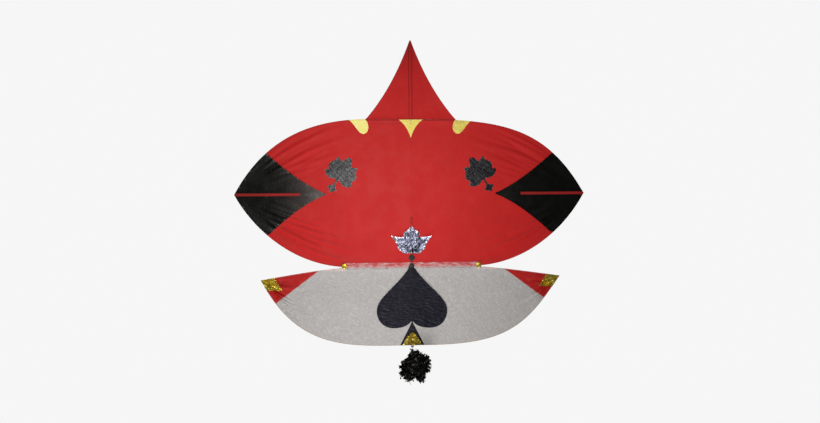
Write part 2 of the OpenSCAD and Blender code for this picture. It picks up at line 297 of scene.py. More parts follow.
def lie_main(x, z):
    """Depth of the main sail's face: tight on the sticks, slack and creased between them."""
    side = -1 if x < 0 else 1
    top = chain_at(leading, 0, x)
    foot = chain_at(trailing, 0, x)
    chord = max(top - foot, 1 * MM)
    share = (z - foot) / chord
    from_top, from_foot = max(0, top - z), max(0, z - foot)
    slope = 1 / math.hypot(1, 0.6 * abs(x) / 0.3)
    edge = ease(from_top * slope - 5 * MM, 20 * MM) * ease(from_foot * slope - 5 * MM, 20 * MM)
    middle = ease(abs(x) - 5 * MM, 30 * MM)
    rib_near = step_up(abs(x), 300 * MM, 366 * MM)
    rib = 1 - rib_near * math.exp(-max(0.0, abs(z - RIB_Z) - 3 * MM) / (14 * MM))
    slack = 2.6 * MM * edge * middle * rib
    run = WING_HALF - abs(x)
    panel = 1 - step_up(run, 95 * MM, 150 * MM)
    reach = step_up(run, 25 * MM, 110 * MM) * (1 - step_up(run, 190 * MM, 440 * MM))
    off_axis = step_up(abs(share - 0.5), 0.05, 0.30)
    slant = 0.85 * step_up(share, 0.35, 0.65) - 0.35
    size = (0.2 + 1.1 * off_axis) * (1 - 0.72 * panel)
    pull = folds(share - slant * run, 21, run, 260 * MM, 3.1 + side)
    crease = (3.4 - 1.0 * step_up(share, 0.4, 0.6)) * MM * reach * size * pull * min(edge * 1.6, 1) * rib
    neck = math.exp(-((z + 14 * MM) / (16 * MM)) ** 2) * math.exp(-((abs(x) - 62 * MM) / (46 * MM)) ** 2)
    pucker = 0.9 * MM * neck * folds((z + 0.25 * abs(x)) / 0.1, 9, x, 90 * MM, 11 + side)
    waist = math.exp(-from_foot / (45 * MM)) * step_up(abs(x), 110 * MM, 210 * MM)
    gather = 1.2 * MM * waist * (1 - step_up(abs(x), 330 * MM, 420 * MM)) * min(edge * 2, 1)
    gather *= folds((x + side * 0.6 * from_foot) / 0.1, 2.6, z, 120 * MM, 17 + side)
    drift = 0.7 * MM * edge * (grain(x, z, 80 * MM, 2) + 0.4 * grain(x, z, 30 * MM, 5))
    fine = 0.05 * MM * edge * grain(x, z, 9 * MM, 8)
    return SAIL_FRONT + slack + crease + pucker + gather + drift + fine


def lie_head(x, z):
    """Depth of the head sail's face, with the paper drawn over the spine as a raised ridge."""
    left, right = chain_at(head_left, 1, z), chain_at(head_right, 1, z)
    half = max((right - left) / 2, 1 * MM)
    edge = ease(min(x - left, right - x) * 0.8 - 4 * MM, 14 * MM)
    foot = ease(z - 3 * MM, 12 * MM)
    shoulder = step_up(abs(x), 4.4 * MM, 7.5 * MM)
    slack = 1.9 * MM * edge * foot * (0.45 * shoulder + 0.55 * ease(abs(x) - 5 * MM, 22 * MM))
    pull = folds(x / half, 3.6, z, 110 * MM, 23) * 0.8 * MM
    pull *= edge * foot * step_up(abs(x), 6 * MM, 16 * MM)
    fine = 0.22 * MM * edge * (grain(x, z, 50 * MM, 12) + 0.4 * grain(x, z, 18 * MM, 14))
    return SAIL_FRONT + slack + pull + fine


def lie_low(x, z):
    """Depth of the lower sail's face."""
    side = -1 if x < 0 else 1
    top = chain_at(top_line, 0, x) if abs(x) < abs(top_line[0][0]) else low_r[1]
    foot = chain_at(bow, 0, x)
    chord = max(top - foot, 1 * MM)
    share = (z - foot) / chord
    edge = ease((top - z) * 0.9 - 4 * MM, 14 * MM) * ease((z - foot) * 0.8 - 5 * MM, 18 * MM)
    middle = ease(abs(x) - 5 * MM, 30 * MM)
    run = LOW_HALF - abs(x)
    reach = step_up(run, 4 * MM, 35 * MM) * (1 - step_up(run, 90 * MM, 210 * MM))
    pull = 2.6 * MM * reach * folds(share, 9, run, 160 * MM, 31 + side) * min(edge * 2.2, 1)
    pull *= 1 + 1.6 * step_up(abs(x), 400 * MM, 440 * MM)
    drop = 0.4 * MM * folds(x / 0.5, 9, z, 300 * MM, 37) * edge * middle
    drop *= 1 - step_up(abs(x), 330 * MM, 430 * MM)
    drift = 0.3 * MM * edge * (grain(x, z, 60 * MM, 41) + 0.5 * grain(x, z, 22 * MM, 43))
    return SAIL_FRONT + 2.1 * MM * edge * middle + pull + drop + drift


def over(lie, layers, wrinkle):
    """Face of a piece glued that many layers in front of a sail, with its own crinkle."""
    def face(x, z):
        own = max(0.12 * MM, wrinkle(x, z))
        return lie(x, z) - layers * LAYER - own
    return face


# ---------- finishes ----------

def dye(red, green, blue, light=0.92):
    """Colour that shows as this 0-255 shade under the studio light."""
    shade = []
    for c in (red, green, blue):
        c = c / 255
        linear = c / 12.92 if c <= 0.04045 else ((c + 0.055) / 1.055) ** 2.4
        shade.append(min(1.0, linear / light))
    return (*shade, 1.0)


class Finish:
    """One material, built up from a plain tone by mixed-in tones (real marks and painted light), sheens
    and raised grain.
    """

    def __init__(self, name, tone, rough, gloss=0.5, metal=0.0, on_uv=False):
        self.material = bpy.data.materials.new(name)
        self.material.use_nodes = True
        self.nodes = self.material.node_tree.nodes
        self.links = self.material.node_tree.links
        self.shader = self.nodes["Principled BSDF"]
        self.shader.inputs["Base Color"].default_value = tone
        self.shader.inputs["Roughness"].default_value = rough
        self.shader.inputs["Metallic"].default_value = metal
        self.shader.inputs["Specular IOR Level"].default_value = gloss
        self.tone, self.tint, self.height = tone, None, None
        self.rough, self.roughness = rough, None
        where = self.nodes.new("ShaderNodeTexCoord")
        self.place = where.outputs["UV" if on_uv else "Object"]

    def math(self, kind, first, second=0.0):
        node = self.nodes.new("ShaderNodeMath")
        node.operation = kind
        for socket, value in zip(node.inputs, (first, second)):
            if hasattr(value, "links"):
                self.links.new(value, socket)
            else:
                socket.default_value = value
        return node.outputs[0]

    def ramp(self, value, low, high, start=0.0, end=1.0):
        """The value moved smoothly from low..high to start..end."""
        node = self.nodes.new("ShaderNodeMapRange")
        node.interpolation_type = "SMOOTHSTEP"
        self.links.new(value, node.inputs["Value"])
        for key, number in (("From Min", low), ("From Max", high), ("To Min", start), ("To Max", end)):
            node.inputs[key].default_value = number
        return node.outputs["Result"]

    def grain(self, size, low=0.35, high=0.65, stretch=(1, 1, 1), turn=0.0, detail=3.0, bend=0.0):
        """Cloudy mask from 0 to 1 with features of that size, drawn out by stretch, turned about Y."""
        lay = self.nodes.new("ShaderNodeMapping")
        lay.vector_type = "TEXTURE"
        lay.inputs["Rotation"].default_value = (0, turn, 0)
        lay.inputs["Scale"].default_value = [size * s for s in stretch]
        self.links.new(self.place, lay.inputs["Vector"])
        node = self.nodes.new("ShaderNodeTexNoise")
        node.inputs["Scale"].default_value = 1.0
        node.inputs["Detail"].default_value = detail
        node.inputs["Distortion"].default_value = bend
        self.links.new(lay.outputs["Vector"], node.inputs["Vector"])
        return self.ramp(node.outputs["Fac"], low, high)

    def axis(self, name):
        """Distance along X, Y or Z, in metres."""
        node = self.nodes.new("ShaderNodeSeparateXYZ")
        self.links.new(self.place, node.inputs[0])
        return node.outputs[name]

    def along(self, name, low, high, start=0.0, end=1.0):
        """Mask that changes smoothly from start to end between two points of an axis."""
        return self.ramp(self.axis(name), low, high, start, end)

    def band(self, name, middle, half, soft, mirrored=False):
        """1 within half of the middle of an axis, falling to 0 over soft."""
        value = self.axis(name)
        if mirrored:
            value = self.math("ABSOLUTE", value)
        away = self.math("ABSOLUTE", self.math("SUBTRACT", value, middle))
        return self.ramp(away, half, half + soft, 1.0, 0.0)

    def near_rim(self, low=0.2, high=0.8):
        """Mask that is 1 along a sheet's cut edge, from the sheet's own rim mark."""
        node = self.nodes.new("ShaderNodeAttribute")
        node.attribute_name = "rim"
        return self.ramp(node.outputs["Fac"], low, high)

    def both(self, first, second):
        return self.math("MULTIPLY", first, second)

    def mix_tone(self, mask, tone, amount):
        """Mixes a tone in where the mask is 1."""
        node = self.nodes.new("ShaderNodeMix")
        node.data_type = "RGBA"
        self.links.new(self.math("MULTIPLY", mask, amount), node.inputs[0])
        if self.tint is None:
            node.inputs[6].default_value = self.tone
        else:
            self.links.new(self.tint, node.inputs[6])
        node.inputs[7].default_value = tone
        self.tint = node.outputs[2]

    def dull(self, mask, amount):
        """Makes the surface rougher (or glossier, if negative) where the mask is 1."""
        if self.roughness is None:
            self.roughness = self.math("ADD", self.rough, 0.0)
        self.roughness = self.math("ADD", self.roughness, self.math("MULTIPLY", mask, amount))

    def raise_by(self, mask, millimetres):
        """Lifts the surface where the mask is 1."""
        lift = self.math("MULTIPLY", mask, millimetres)
        self.height = lift if self.height is None else self.math("ADD", self.height, lift)

    def mottle(self, tone, amount, *lay, **more):
        """Mixes a tone in along a grain of its own."""
        self.mix_tone(self.grain(*lay, **more), tone, amount)

    def emboss(self, millimetres, *lay, **more):
        """Raises a grain of its own."""
        self.raise_by(self.grain(*lay, **more), millimetres)

    def done(self):
        if self.tint is not None:
            self.links.new(self.tint, self.shader.inputs["Base Color"])
        if self.roughness is not None:
            self.links.new(self.roughness, self.shader.inputs["Roughness"])
        if self.height is not None:
            bump = self.nodes.new("ShaderNodeBump")
            bump.inputs["Distance"].default_value = MM
            self.links.new(self.height, bump.inputs["Height"])
            self.links.new(bump.outputs["Normal"], self.shader.inputs["Normal"])
        return self.material


def red_dye(name, tone):
    """Red dyed cloth-paper: fine weave, mottled dye and a soft satin."""
    look = Finish(name, tone, 0.57, gloss=0.27)
    look.mottle(dye(182, 22, 20), 0.30, 0.16, detail=2)
    look.mottle(dye(206, 34, 32), 0.12, 0.012, 0.4, 0.7, detail=4)
    look.mottle(dye(158, 22, 20), 0.16, 0.0022, 0.45, 0.75, stretch=(4, 1, 1))
    look.mottle(dye(210, 36, 34), 0.10, 0.0022, 0.45, 0.75, stretch=(1, 1, 4))
    # Darker along every cut edge: the folded hem on the sails, and painted shadow lines along both edges
    # of the raised rib strips.
    look.mix_tone(look.near_rim(0.72, 0.92), dye(96, 12, 10), 0.5)
    look.emboss(0.05, 0.0016, stretch=(4, 1, 1), detail=2)
    look.emboss(0.05, 0.0016, stretch=(1, 1, 4), detail=2)
    look.emboss(0.12, 0.011, detail=4)
    look.dull(look.grain(0.05, detail=3), 0.08)
    return look


look = red_dye("main_red_paper", dye(196, 26, 24))
# Painted shade: a faint dark line down the spine across the middle of the main sail, standing in for the
# shade beside the spine's ridge.
rows = look.along("Z", -0.335, -0.30)
below = look.along("Z", -0.05, -0.025, 1.0, 0.0)
painted_spine_shade = look.both(look.band("X", 0.0, 0.0008, 0.0028), look.both(rows, below))
look.mix_tone(painted_spine_shade, dye(120, 20, 20), 0.16)
# Painted shadow: a dark line in the gap where the head sail meets the main sail over the leading spar.
painted_seam_shadow = look.both(look.band("Z", -0.0016, 0.0010, 0.0018), look.band("X", 0, 0.135, 0.03))
look.mix_tone(painted_seam_shadow, dye(96, 12, 12), 0.45)
# Painted shade: a short faint dark line below it on the left, standing in for the shade along the paper's
# ridge over the leading spar.
second = look.both(look.band("Z", -0.0125, 0.0006, 0.003), look.band("X", -0.075, 0.03, 0.05))
look.mix_tone(second, dye(130, 18, 18), 0.35)
foot = look.along("Z", -0.497, -0.470, 1.0, 0.0)
look.mix_tone(look.both(foot, look.grain(0.02, 0.35, 0.7, stretch=(2, 1, 1))), dye(150, 30, 32), 0.4)
main_red = look.done()

look = red_dye("head_red_paper", dye(196, 26, 24))
# Painted shade: the head darkens towards its top, where less light falls.
look.mix_tone(look.along("Z", 0.13, 0.27), dye(150, 16, 12), 0.6)
# Painted shade: two dark lines at the sides of the spine, standing in for the shade along the raised ridge
# of paper over it.
shoulder = look.band("X", 0.0050, 0.0007, 0.0020, mirrored=True)
look.mix_tone(look.both(shoulder, look.grain(0.05, 0.2, 0.5)), dye(84, 8, 8), 0.6)
head_red = look.done()

look = red_dye("strip_red_paper", dye(142, 26, 24))
# Painted highlight: a lighter line along the crest of the strip where it stands over the rib.
look.mix_tone(look.band("Z", RIB_Z, 0.0002, 0.0012), dye(160, 40, 36), 0.4)
strip_red = look.done()

look = red_dye("corner_red_paper", dye(172, 20, 17))
look.mix_tone(look.both(look.near_rim(0.55, 0.9), look.grain(0.02, 0.3, 0.6)), dye(214, 140, 138), 0.55)
look.mottle(dye(196, 70, 66), 0.25, 0.018, 0.5, 0.7, detail=4)
corner_red = look.done()

# Undyed mulberry sheet: long pale fibres in a warm grey pulp.
look = Finish("grey_fibre_paper", dye(176, 172, 170), 0.72, gloss=0.18)
look.mottle(dye(170, 166, 164), 0.45, 0.09, detail=3)
look.mottle(dye(198, 195, 193), 0.28, 0.007, 0.42, 0.66, detail=5, bend=1.0)
look.mottle(dye(222, 220, 217), 0.35, 0.0022, 0.54, 0.64, stretch=(6, 1, 1), turn=0.6, bend=0.8)
look.mottle(dye(150, 146, 143), 0.30, 0.0022, 0.54, 0.64, stretch=(6, 1, 1), turn=-0.8, bend=0.8)
look.mottle(dye(212, 209, 206), 0.25, 0.0020, 0.56, 0.64, stretch=(6, 1, 1), turn=1.5)
hem = look.both(look.near_rim(0.62, 0.86), look.along("Z", -0.60, -0.56, 1.0, 0.0))
look.mix_tone(hem, dye(158, 128, 100), 0.7)
torn = look.both(look.band("X", 0.262, 0.030, 0.014, mirrored=True),
                 look.along("Z", -0.519, -0.510))
look.mix_tone(look.both(torn, look.grain(0.009, 0.38, 0.52, detail=4)), dye(226, 196, 192), 0.85)
# Painted shadow: dark dashes along the line where the trailing spar lies behind the hem.
spar_shadow_dashes = look.both(look.band("Z", -0.5085, 0.0006, 0.0018), look.band("X", 0, 0.225, 0.01))
look.mix_tone(look.both(spar_shadow_dashes, look.grain(0.012, 0.45, 0.6)), dye(90, 80, 80), 0.45)
look.emboss(0.07, 0.0024, 0.45, 0.65, stretch=(6, 1, 1), turn=0.6)
look.emboss(0.07, 0.0022, stretch=(5, 1, 1), turn=-0.8)
look.emboss(0.25, 0.012, detail=4)
grey = look.done()

# Glued hem where the red has bled into the grey.
look = Finish("pink_hem_paper", dye(196, 132, 132), 0.7, gloss=0.2)
look.mottle(dye(190, 58, 60), 0.85, 0.010, 0.40, 0.58, stretch=(3, 1, 1), detail=5)
look.mottle(dye(214, 190, 188), 0.7, 0.007, 0.52, 0.66, stretch=(3, 1, 1), detail=4)
low = look.along("Z", -0.5045, -0.4990, 1.0, 0.0)
look.mix_tone(look.both(low, look.grain(0.01, 0.3, 0.55)), dye(186, 170, 168), 0.75)
look.emboss(0.2, 0.005, stretch=(4, 1, 1), detail=4)
flap_pink = look.done()

# Black lacquered paper; the left tip carries a painted grey sheen inside and pale flecks along its edges.
look = Finish("black_tip_paper", dye(3, 3, 1), 0.33, gloss=0.30)
look.mottle(dye(8, 8, 5), 0.5, 0.05, detail=3)
look.mottle(dye(22, 20, 16), 0.25, 0.0025, 0.5, 0.75, detail=3)
left = look.along("X", -0.28, -0.26, 1.0, 0.0)
# Painted sheen: the inner part of the left tip is lightened to grey, standing in for the reflection of the
# key light.
left_sheen_paint = look.along("X", -0.46, -0.31)
look.mix_tone(look.both(left, left_sheen_paint), dye(80, 66, 62), 0.55)
# Pale flecks along the left tip's edges and stray pale streaks across it.
edge = look.both(left, look.near_rim(0.10, 0.5))
pale_edge_flecks = look.grain(0.0035, 0.60, 0.68, stretch=(1, 1, 4), turn=-0.5, detail=2)
look.mix_tone(look.both(pale_edge_flecks, edge), dye(150, 146, 140), 0.6)
stray = look.grain(0.004, 0.70, 0.76, stretch=(1, 1, 7), turn=-0.15, detail=2)
look.mix_tone(look.both(left, stray), dye(120, 118, 112), 0.6)
look.dull(look.grain(0.03, detail=4), 0.08)
look.emboss(0.09, 0.006, detail=4)
look.emboss(0.03, 0.0018, detail=2)
black = look.done()

# Thin black plastic ribbon laid in slanting strokes for the small leaves.
look = Finish("black_leaf_ribbon", dye(5, 6, 16), 0.30, gloss=0.52)
stroke = look.grain(0.0035, 0.35, 0.65, stretch=(8, 1, 1), turn=0.72, detail=3)
look.mix_tone(stroke, dye(26, 24, 30), 0.55)
dark = look.grain(0.006, 0.54, 0.64, stretch=(5, 1, 1), turn=0.62, detail=3)
look.mix_tone(dark, dye(8, 6, 8), 0.7)
look.mix_tone(look.both(look.near_rim(0.6, 0.9), look.grain(0.004, 0.5, 0.6)), dye(130, 128, 132), 0.5)
look.dull(stroke, 0.12)
look.raise_by(stroke, 0.25)
look.emboss(0.08, 0.003, detail=3)
leaf_black = look.done()

# Blue-black spade paper with fine crinkles running across it, lightened on their crests as painted
# highlight.
look = Finish("navy_spade_paper", dye(13, 12, 28), 0.46, gloss=0.24)
# The crinkle mask raises the surface and also lightens it: painted highlight on the crinkle crests.
crinkle_lift_and_sheen = look.grain(0.011, 0.32, 0.70, stretch=(3.2, 1, 1), turn=0.2, bend=1.2, detail=3)
look.mix_tone(crinkle_lift_and_sheen, dye(27, 26, 42), 0.6)
# Painted highlight: thin pale streaks along the crinkles.
look.mottle(dye(52, 51, 70), 0.3, 0.006, 0.58, 0.7, stretch=(5, 1, 1), turn=-0.25, bend=0.8)
look.mottle(dye(10, 10, 20), 0.4, 0.03, detail=3)
look.dull(look.grain(0.012, detail=3), 0.14)
look.raise_by(crinkle_lift_and_sheen, 1.6)
look.emboss(0.04, 0.002, detail=2)
navy = look.done()

# Charcoal paper of the stem and cap, torn to white along one edge.
look = Finish("charcoal_paper", dye(24, 20, 22), 0.40, gloss=0.35)
look.mottle(dye(56, 52, 55), 0.5, 0.005, 0.42, 0.66, detail=4)
look.mottle(dye(8, 6, 7), 0.7, 0.004, 0.58, 0.66, stretch=(2, 1, 1))
torn = look.both(look.along("X", 0.0075, 0.0105),
                 look.along("Z", -0.503, -0.498, 1.0, 0.0))
look.mix_tone(look.both(torn, look.grain(0.003, 0.4, 0.5)), dye(226, 224, 222), 0.9)
look.emboss(0.3, 0.006, detail=4)
charcoal = look.done()


def make_gold(name, tone, deep, pale, rough, metal):
    """Gold-leafed paper: yellow mottled with rubbed and pale patches."""
    deep, pale = dye(*deep), dye(*pale)
    look = Finish(name, dye(*tone), rough, gloss=0.5, metal=metal)
    look.mottle(deep, 0.35, 0.016, 0.40, 0.64, detail=4)
    look.mottle(pale, 0.6, 0.009, 0.50, 0.66, detail=4)
    look.mottle(deep, 0.2, 0.0025, 0.5, 0.7, detail=3)
    look.dull(look.grain(0.006, detail=3), 0.12)
    look.emboss(0.18, 0.004, detail=4)
    look.emboss(0.03, 0.0013, detail=2)
    return look.done()


# Aluminium foil, crushed and flattened again.
look = Finish("silver_crushed_foil", dye(160, 163, 186, 1.0), 0.36, metal=1.0)
look.mottle(dye(104, 106, 128, 1.0), 0.6, 0.008, 0.4, 0.62, detail=4)
look.mottle(dye(40, 40, 52, 1.0), 0.6, 0.005, 0.56, 0.68, stretch=(1, 1, 2), detail=2)
look.dull(look.grain(0.005, detail=3), 0.12)
# Painted shade: darker low down in the middle of the leaf.
low = look.both(look.band("X", 0.004, 0.012, 0.022), look.along("Z", -0.446, -0.415, 1.0, 0.0))
look.mix_tone(look.both(low, look.grain(0.012, 0.3, 0.6)), dye(40, 42, 54, 1.0), 0.8)
# Painted highlight: a bright band along the leaf's rim.
painted_rim_highlight = look.both(look.near_rim(0.35, 0.85), look.grain(0.012, 0.42, 0.5))
look.mix_tone(painted_rim_highlight, dye(222, 222, 234, 1.0), 0.6)
# Painted highlight: the curled left point made pinkish white.
point = look.both(look.along("X", -0.060, -0.044, 1.0, 0.0), look.near_rim(0.0, 0.6))
look.mix_tone(point, dye(246, 240, 240, 1.0), 0.9)
look.emboss(0.30, 0.012, 0.3, 0.7, stretch=(1, 1, 1.6), detail=3, bend=1.0)
silver = look.done()

# Split bamboo: straw fibres along the strip, darker skin and a brown ring at each joint.
look = Finish("split_bamboo", dye(190, 154, 98), 0.5, gloss=0.4, on_uv=True)
fibre = look.grain(0.9 * MM, 0.35, 0.68, stretch=(60, 1, 1), detail=4)
look.mix_tone(fibre, dye(150, 112, 62), 0.6)
look.mottle(dye(226, 202, 156), 0.5, 1.6 * MM, 0.5, 0.7, stretch=(40, 1, 1), detail=3)
look.mottle(dye(150, 112, 62), 0.35, 0.09, detail=2)
look.mottle(dye(104, 72, 38), 0.5, 0.006, 0.66, 0.74, stretch=(3, 1, 1))
ring = look.nodes.new("ShaderNodeAttribute")
ring.attribute_name = "joint_ring"
look.mix_tone(ring.outputs["Fac"], dye(112, 78, 40), 0.8)
look.raise_by(fibre, 0.10)
bamboo = look.done()


def make_thread(name, tone, dark):
    dark = dye(*dark)
    look = Finish(name, dye(*tone), 0.85, gloss=0.15, on_uv=True)
    ply = look.grain(1.1 * MM, 0.35, 0.6, turn=0.6, detail=1)
    look.mix_tone(ply, dark, 0.45)
    look.mottle(dark, 0.3, 0.012, detail=3)
    look.raise_by(ply, 0.12)
    return look.done()


# Curled black gift ribbon: thin, glossy on its bends.
look = Finish("black_pompom_ribbon", dye(11, 10, 7), 0.36, gloss=0.30, on_uv=True)
look.mottle(dye(22, 21, 17), 0.5, 0.004, 0.4, 0.7, stretch=(8, 1, 1))
look.dull(look.grain(0.02, detail=3), 0.12)
look.emboss(0.06, 0.0016, stretch=(10, 1, 1), detail=2)
ribbon = look.done()

look = Finish("pale_floor", (0.90, 0.90, 0.90, 1), 0.9, gloss=0.1)
look.mottle((0.87, 0.87, 0.87, 1), 0.4, 0.4, detail=3)
look.shader.inputs["Emission Color"].default_value = (0.9, 0.9, 0.9, 1)
look.shader.inputs["Emission Strength"].default_value = 0.62
floor_paint = look.done()


gold, rubbed_gold, moon_gold, old_gold, tail_gold = (make_gold(*row) for row in (
    # name, tone, deep, pale, roughness, metal
    ("bright_gold_leaf", (240, 220, 96), (222, 196, 66), (252, 242, 168), 0.40, 0.0),
    ("rubbed_gold_leaf", (236, 216, 92), (150, 124, 44), (252, 240, 150), 0.40, 0.0),
    ("pale_gold_leaf", (250, 236, 128), (242, 220, 104), (255, 250, 190), 0.42, 0.0),
    ("dull_gold_foil", (214, 182, 52), (120, 92, 20), (255, 240, 130), 0.28, 0.8),
    ("dark_gold_foil", (176, 146, 40), (96, 72, 14), (250, 232, 130), 0.30, 0.75)))
pale_thread = make_thread("pale_bridle_thread", (222, 206, 140), (176, 156, 92))
# Painted shade: the lower bridle loop is cream cord like the rest, coloured dark red-brown where it hangs
# in shade.
shade_dark_thread = make_thread("shade_darkened_thread", (128, 44, 38), (70, 24, 20))
frayed_thread = make_thread("frayed_white_thread", (244, 232, 230), (226, 206, 204))
tail_thread = make_thread("brown_tail_thread", (118, 84, 70), (70, 46, 38))
waxed_thread = make_thread("waxed_thread", (196, 182, 150), (128, 108, 76))


# ---------- pieces ----------

def finished(bm, name, look, body="kite", nodes=(), crisp=55):
    """Turns the mesh into a named piece that stands for its CAD parts and moves with its body."""
    for edge in bm.edges:
        edge.smooth = edge.calc_face_angle(0.0) < math.radians(crisp)
    for face in bm.faces:
        face.smooth = True
    mesh = bpy.data.meshes.new(name)
    bm.to_mesh(mesh)
    bm.free()
    mesh.materials.append(look)
    piece = bpy.data.objects.new(name, mesh)
    bpy.context.scene.collection.objects.link(piece)
    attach(piece, body)
    if nodes:
        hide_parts(*nodes)
    return piece


def cut_planes(bm, key, low, high, step, extra=()):
    """Dices the mesh along whole multiples of the step, so neighbouring layers share their lines."""
    cuts = [step * k for k in range(math.ceil(low / step), math.floor(high / step) + 1)]
    cuts = sorted({round(c * 1e5) * 1e-5 for c in [*cuts, *extra] if low < c < high})
    normal = (1, 0, 0) if key == 0 else (0, 0, 1)
    for cut in cuts:
        point = (cut, 0, 0) if key == 0 else (0, 0, cut)
        near = []
        for f in bm.faces:
            reach = [v.co[key * 2] for v in f.verts]
            if min(reach) < cut - 1e-6 and max(reach) > cut + 1e-6:
                near.append(f)
        parts = {v for f in near for v in f.verts} | {e for f in near for e in f.edges} | set(near)
        bmesh.ops.bisect_plane(bm, geom=list(parts), dist=1e-7, plane_co=point, plane_no=normal)


def paper(name, loops, step, lie, look, nodes=(), thick=PAPER, extra_x=(), extra_z=(), crisp=55):
    """A sheet cut to its outline, diced, laid over what is under it and given its thickness."""
    bm = bmesh.new()
    for loop in loops:
        bm.faces.new([bm.verts.new((x, 0, z)) for x, z in loop])
    xs = [v.co.x for v in bm.verts]
    zs = [v.co.z for v in bm.verts]
    cut_planes(bm, 0, min(xs), max(xs), step, extra_x)
    cut_planes(bm, 1, min(zs), max(zs), step, extra_z)
    for v in bm.verts:
        v.co.y = lie(v.co.x, v.co.z)
    bmesh.ops.triangulate(bm, faces=[f for f in bm.faces if len(f.verts) > 4])
    edge_points = [v.co.copy() for v in bm.verts if v.is_boundary]
    tree = kdtree.KDTree(len(edge_points))
    for k, co in enumerate(edge_points):
        tree.insert((co.x, 0, co.z), k)
    tree.balance()
    mark = bm.verts.layers.float.new("rim")
    for v in bm.verts:
        v[mark] = max(0.0, 1 - tree.find((v.co.x, 0, v.co.z))[2] / RIM_REACH)
    bm.normal_update()
    bmesh.ops.solidify(bm, geom=bm.faces[:], thickness=thick)
    return finished(bm, name, look, nodes=nodes, crisp=crisp)


def make_sail(node, edge, step, lie, look, rests, extra_x, extra_z=()):
    """One sail; its flat size as cut is worked out but not kept."""
    loop = smooth_loop(edge, step)
    sail = paper(node + "_paper", [loop], step, lie, look, [node], SAIL, extra_x, extra_z)
    rests = [stick + "_bamboo" for stick in (*rests, "spine")]
    flat_area(loop)


def make_sails():
    beside = [s * w * MM for s in (-1, 1) for w in (2.5, 4.6, 6.2, 8.5)]
    near_tips = [s * (400 + 2.5 * k) * MM for s in (-1, 1) for k in range(58)]
    rows = [-2.5 * k * MM for k in range(203, 250)]
    make_sail("main_sail", wing_loop, COARSE, lie_main, main_red,
              ("leading_spar", "trailing_spar"), beside)
    make_sail("head_sail", head_loop, 4 * MM, lie_head, head_red,
              ("head_strip_left", "head_strip_right"), beside)
    make_sail("lower_sail", low_loop, COARSE, lie_low, grey,
              ("lower_bow", "lower_top_spar"), beside + near_tips, rows)


def ridge(x, z, size, seed):
    """Sharp-crested random creases, from 0 to 1."""
    return 1 - abs(noise.noise(Vector((x / size, seed, z / size)))) * 2.2


def black_crinkle(x, z):
    return (0.10 + 0.10 * grain(x, z, 22 * MM, 51) + 0.04 * grain(x, z, 7 * MM, 52)) * MM


def strip_crinkle(x, z):
    return (0.12 + 0.10 * grain(x, z, 14 * MM, 53)) * MM


def leaf_crinkle(x, z):
    """Slanting strokes, with the ends of the lobes lifting a little."""
    strokes = folds((x - z) / 0.1, 12, x + z, 60 * MM, 55)
    return (0.35 + 0.30 * strokes + 0.12 * grain(x, z, 5 * MM, 56)) * MM


def spade_crinkle(x, z):
    """Fine waves running across the spade."""
    wave = folds((z + 0.10 * x) / 0.1, 12, x, 40 * MM, 61) + 0.4 * folds(z / 0.1, 24, x, 20 * MM, 63)
    calm = 1 - step_up(-z, 690 * MM, 722 * MM)
    return (0.2 + (1.1 + 1.6 * wave) * calm + 0.10 * grain(x, z, 6 * MM, 64)) * MM


def gold_crinkle(x, z):
    return (0.16 + 0.16 * grain(x, z, 11 * MM, 66) + 0.10 * ridge(x, z, 8 * MM, 67)) * MM


def silver_crinkle(x, z):
    """Crushed foil whose two side points curl up off the sail."""
    crush = ridge(x, z, 24 * MM, 71) + 0.55 * ridge(x, z, 12 * MM, 72) + 0.10 * ridge(x, z, 6 * MM, 73)
    curl = step_up(abs(x), 40 * MM, 71 * MM) ** 2
    return (2.0 + 2.1 * (crush - 0.7) + 4.0 * curl) * MM


def stem_crinkle(x, z):
    return (0.9 + 0.8 * ridge(x, z, 7 * MM, 75) + 0.3 * grain(x, z, 3 * MM, 76)) * MM


def tip_crinkle(x, z):
    """Foil folded over the corner, with one bright crease along it."""
    side = -1 if x < 0 else 1
    along = (abs(x) - 505 * MM) + 0.9 * (z - low_r[1])
    fold = math.exp(-(along / (4 * MM)) ** 2)
    pleats = folds((0.88 * z - 0.47 * abs(x)) / 0.1, 10, abs(x), 70 * MM, 77 + side)
    return (1.4 + 1.4 * fold + 1.5 * pleats + 0.25 * ridge(x, z, 6 * MM, 78)) * MM


def tail_crinkle(x, z):
    """Crushed foil, pressed flat where the tail knot sits on it."""
    away = step_up(math.hypot(x, z - TAIL_Z), 5 * MM, 15 * MM)
    crush = 1.7 * ridge(x, z, 13 * MM, 79) + 0.7 * ridge(x, z, 6 * MM, 80)
    return (0.15 + away * (0.5 + crush)) * MM


def patch(node, step, lie, layers, wrinkle, look, thick=PAPER, corner=35, extra_z=()):
    """A cut-out glued that many layers in front of its sail."""
    loop = smooth_loop(outline(node), step, corner)
    paper(node + "_sheet", [loop], step, over(lie, layers, wrinkle), look, [node], thick,
          extra_z=extra_z)


